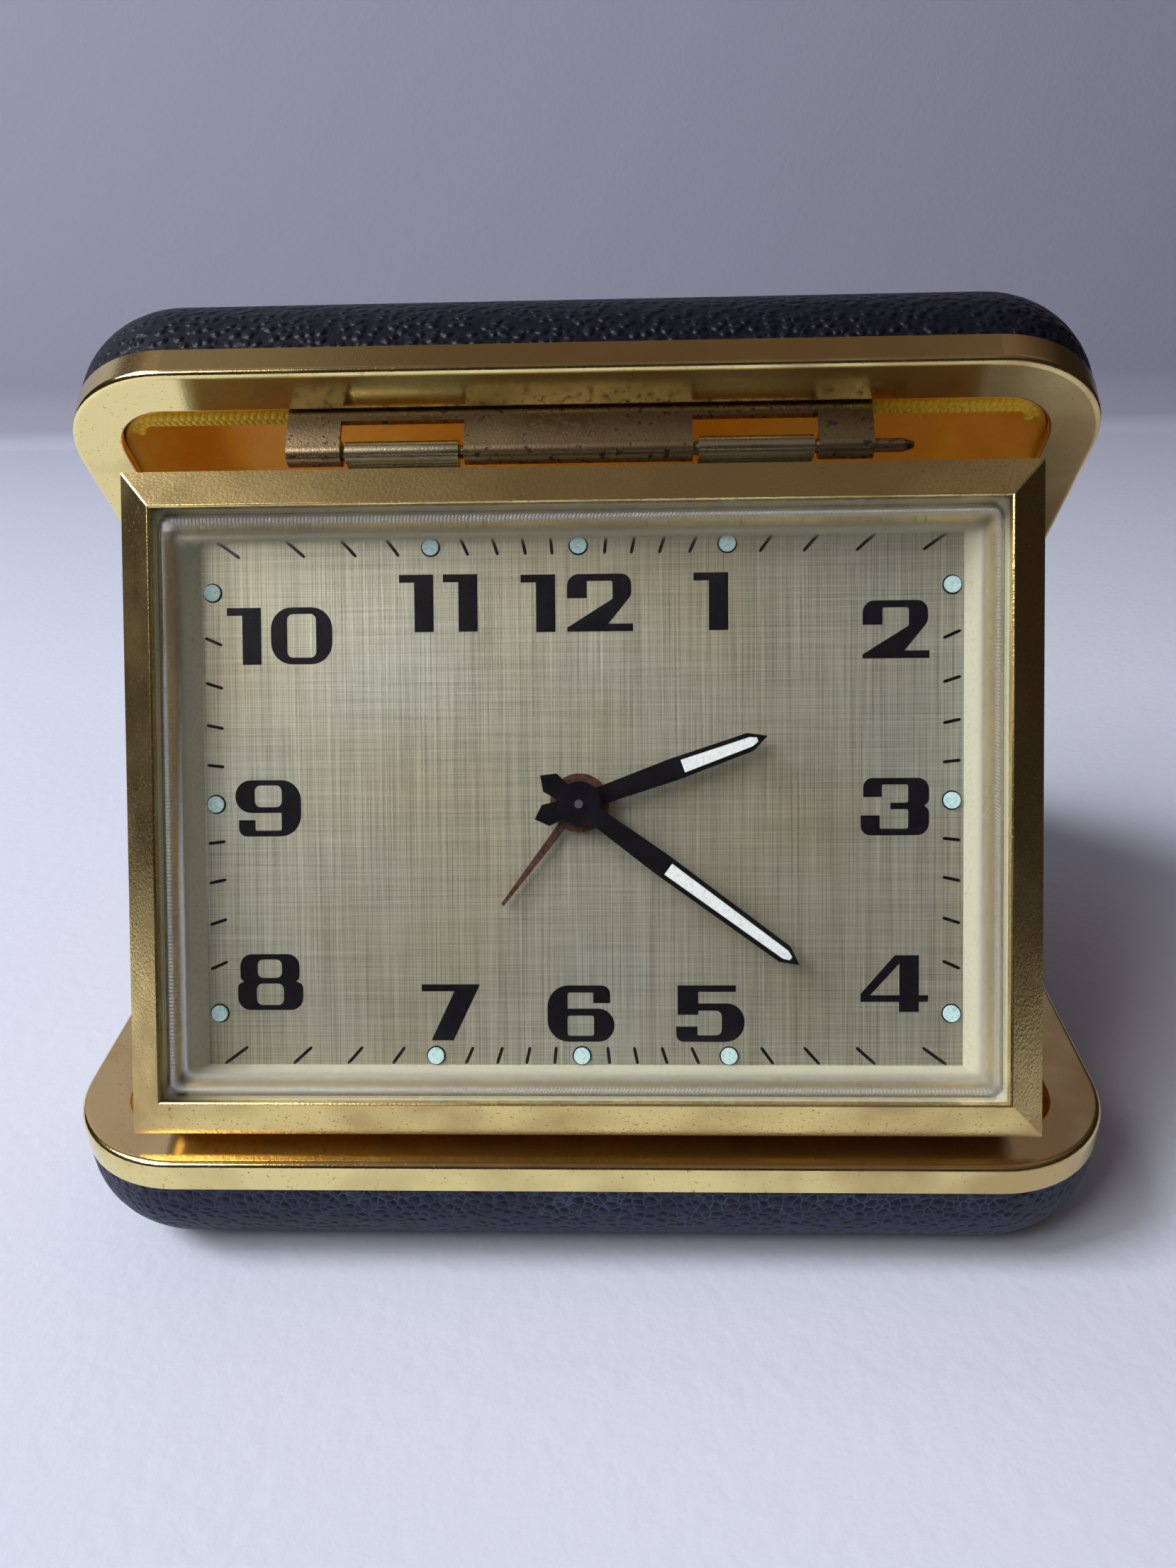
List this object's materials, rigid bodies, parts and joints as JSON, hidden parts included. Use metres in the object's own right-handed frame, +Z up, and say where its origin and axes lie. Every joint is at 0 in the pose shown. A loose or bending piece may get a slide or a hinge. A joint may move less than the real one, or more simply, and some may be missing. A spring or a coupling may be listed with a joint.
{
  "type": "pendulette clock",
  "caption": "Folding travel alarm clock: a gilt clock hung on a pin inside the open lid of a rounded leathercloth case.",
  "frame": {"origin": "centre of the base half's resting face", "axes": "+X right as one faces the dial, +Y back towards the rear hinge, +Z up"},
  "size_m": [0.092, 0.0826, 0.0771],
  "materials": {
    "gilt_brass": "polished gilt, worn",
    "pressed_steel": "plain pressed sheet",
    "navy_leathercloth": "pebbled",
    "amber_taffeta": "fine ribbed weave",
    "yellow_cord": "braided",
    "bezel_brass": "satin gilt with fine scratches",
    "clear_acrylic": "clear moulded",
    "cream_rehaut": "satin",
    "linen_dial": "linen-pattern champagne",
    "mint_lume": "luminous paint",
    "black_hand": "gloss black",
    "brown_hand": "copper brown",
    "case_steel": "dark lacquer",
    "movement_brass": "plain",
    "wheel_brass": "plain",
    "arbor_steel": "polished",
    "blued_spring": "blued",
    "ruby_jewel": "polished"
  },
  "bodies": {
    "base": {"base_frame": "gilt_brass", "base_tray": "pressed_steel", "base_leather": "navy_leathercloth", "base_lining": "amber_taffeta", "base_hinge_leaf": "gilt_brass", "rear_hinge_pin": "arbor_steel"},
    "lid": {"lid_frame": "gilt_brass", "lid_tray": "pressed_steel", "lid_leather": "navy_leathercloth", "lid_lining": "amber_taffeta", "lining_cord": "yellow_cord", "lid_hinge_leaf": "gilt_brass", "clock_hinge_leaf": "gilt_brass", "clock_hinge_pin": "gilt_brass"},
    "clock": {"clock_case": "case_steel", "bezel": "bezel_brass", "crystal": "clear_acrylic", "rehaut": "cream_rehaut", "dial": "linen_dial", "lume_dots": "mint_lume", "hinge_knuckles": "bezel_brass", "back_cover": "case_steel", "back_cover_screws": "arbor_steel", "front_plate": "movement_brass", "back_plate": "movement_brass", "pillars": "movement_brass", "plate_nuts": "arbor_steel", "movement_screws": "arbor_steel", "balance_jewels": "ruby_jewel", "hairspring": "blued_spring"},
    "minute": {"cannon_pinion": "wheel_brass", "minute_hand": "black_hand", "minute_hand_lume": "mint_lume"},
    "hour": {"hour_wheel": "wheel_brass", "hour_hand": "black_hand", "hour_hand_lume": "mint_lume"},
    "hand_setting": {"minute_wheel": "wheel_brass", "hand_setting_knob": "movement_brass"},
    "alarm_pointer": {"alarm_wheel": "wheel_brass", "alarm_hand": "brown_hand"},
    "alarm_setting": {"alarm_setting_pinion": "wheel_brass", "alarm_setting_knob": "movement_brass"},
    "time_winding": {"time_winding_arbor": "arbor_steel", "time_key": "movement_brass"},
    "alarm_winding": {"alarm_winding_arbor": "arbor_steel", "alarm_key": "movement_brass"},
    "going_barrel": {"time_barrel": "wheel_brass", "time_mainspring": "blued_spring"},
    "centre": {"centre_wheel": "wheel_brass"},
    "third": {"third_wheel": "wheel_brass"},
    "fourth": {"fourth_wheel": "wheel_brass"},
    "escape": {"escape_wheel": "wheel_brass"},
    "pallet": {"pallet_lever": "arbor_steel"},
    "balance": {"balance_wheel": "movement_brass"},
    "ringing_barrel": {"alarm_barrel": "wheel_brass", "alarm_mainspring": "blued_spring"},
    "ringing": {"ringing_wheel": "wheel_brass"},
    "hammer": {"alarm_hammer": "arbor_steel"},
    "stop_lever": {"alarm_stop_lever": "arbor_steel"},
    "regulator": {"regulator_lever": "arbor_steel"}
  },
  "joints": [
    {"name": "lid_hinge", "type": "hinge", "parent": "base", "child": "lid", "pos_m": [0, 0.038, 0.013], "axis": [-1, 0, 0], "range_deg": [0, 58]},
    {"name": "clock_fold", "type": "hinge", "parent": "lid", "child": "clock", "pos_m": [0, -0.00768, 0.06568], "axis": [1, 0, 0], "range_deg": [-60, 63.3]},
    {"name": "minute_turn", "type": "hinge", "parent": "clock", "child": "minute", "pos_m": [0, -0.02373, 0.03977], "axis": [0, -0.9063, 0.4226], "continuous": true},
    {"name": "hour_turn", "type": "hinge", "parent": "clock", "child": "hour", "pos_m": [0, -0.02373, 0.03977], "axis": [0, -0.9063, 0.4226], "continuous": true},
    {"name": "hand_setting_turn", "type": "hinge", "parent": "clock", "child": "hand_setting", "pos_m": [0.00132, -0.01604, 0.04444], "axis": [0, -0.9063, 0.4226], "continuous": true},
    {"name": "alarm_pointer_turn", "type": "hinge", "parent": "clock", "child": "alarm_pointer", "pos_m": [0, -0.02283, 0.03935], "axis": [0, -0.9063, 0.4226], "continuous": true},
    {"name": "alarm_setting_turn", "type": "hinge", "parent": "clock", "child": "alarm_setting", "pos_m": [-0.00267, -0.0223, 0.03101], "axis": [0, -0.9063, 0.4226], "continuous": true},
    {"name": "time_winding_turn", "type": "hinge", "parent": "clock", "child": "time_winding", "pos_m": [-0.0096, -0.01323, 0.04099], "axis": [0, -0.9063, 0.4226], "continuous": true},
    {"name": "alarm_winding_turn", "type": "hinge", "parent": "clock", "child": "alarm_winding", "pos_m": [0.012, -0.01241, 0.04276], "axis": [0, -0.9063, 0.4226], "continuous": true},
    {"name": "escape_turn", "type": "hinge", "parent": "clock", "child": "escape", "pos_m": [-0.00232, -0.02076, 0.02485], "axis": [0, -0.9063, 0.4226], "continuous": true},
    {"name": "fourth_turn", "type": "hinge", "parent": "clock", "child": "fourth", "pos_m": [0.00254, -0.02076, 0.02485], "axis": [0, -0.9063, 0.4226], "continuous": true},
    {"name": "third_turn", "type": "hinge", "parent": "clock", "child": "third", "pos_m": [0.0036, -0.01821, 0.03031], "axis": [0, -0.9063, 0.4226], "continuous": true},
    {"name": "centre_turn", "type": "hinge", "parent": "clock", "child": "centre", "pos_m": [0, -0.01558, 0.03596], "axis": [0, -0.9063, 0.4226], "continuous": true},
    {"name": "going_barrel_turn", "type": "hinge", "parent": "clock", "child": "going_barrel", "pos_m": [-0.0096, -0.01323, 0.04099], "axis": [0, -0.9063, 0.4226], "continuous": true},
    {"name": "ringing_turn", "type": "hinge", "parent": "clock", "child": "ringing", "pos_m": [0.01945, -0.01422, 0.03886], "axis": [0, -0.9063, 0.4226], "continuous": true},
    {"name": "ringing_barrel_turn", "type": "hinge", "parent": "clock", "child": "ringing_barrel", "pos_m": [0.012, -0.01241, 0.04276], "axis": [0, -0.9063, 0.4226], "continuous": true},
    {"name": "pallet_rock", "type": "hinge", "parent": "clock", "child": "pallet", "pos_m": [-0.0069, -0.02103, 0.02427], "axis": [0, -0.9063, 0.4226], "range_deg": [-5, 5]},
    {"name": "hammer_rock", "type": "hinge", "parent": "clock", "child": "hammer", "pos_m": [0.0225, -0.0186, 0.03186], "axis": [0, -0.9063, 0.4226], "range_deg": [-6, 6]},
    {"name": "balance_swing", "type": "hinge", "parent": "clock", "child": "balance", "pos_m": [-0.0134, -0.02219, 0.02415], "axis": [0, -0.9063, 0.4226], "range_deg": [-150, 150], "stiffness_Nm_per_rad": 0.0000016},
    {"name": "stop_lever_turn", "type": "hinge", "parent": "clock", "child": "stop_lever", "pos_m": [0.022, -0.01899, 0.02156], "axis": [0, -0.9063, 0.4226], "range_deg": [0, 25]},
    {"name": "regulator_turn", "type": "hinge", "parent": "clock", "child": "regulator", "pos_m": [-0.0134, -0.01856, 0.02246], "axis": [0, -0.9063, 0.4226], "range_deg": [-20, 20]}
  ],
  "couplings": [
    {"joint": "hour_turn", "follows": "minute_turn", "ratio": 0.083333},
    {"joint": "hand_setting_turn", "follows": "minute_turn", "ratio": -0.33333},
    {"joint": "alarm_setting_turn", "follows": "alarm_pointer_turn", "ratio": -3},
    {"joint": "fourth_turn", "follows": "escape_turn", "ratio": -0.125},
    {"joint": "third_turn", "follows": "escape_turn", "ratio": 0.016667},
    {"joint": "centre_turn", "follows": "escape_turn", "ratio": -0.0020833},
    {"joint": "going_barrel_turn", "follows": "escape_turn", "ratio": 0.00034722},
    {"joint": "ringing_barrel_turn", "follows": "ringing_turn", "ratio": -0.2}
  ]
}
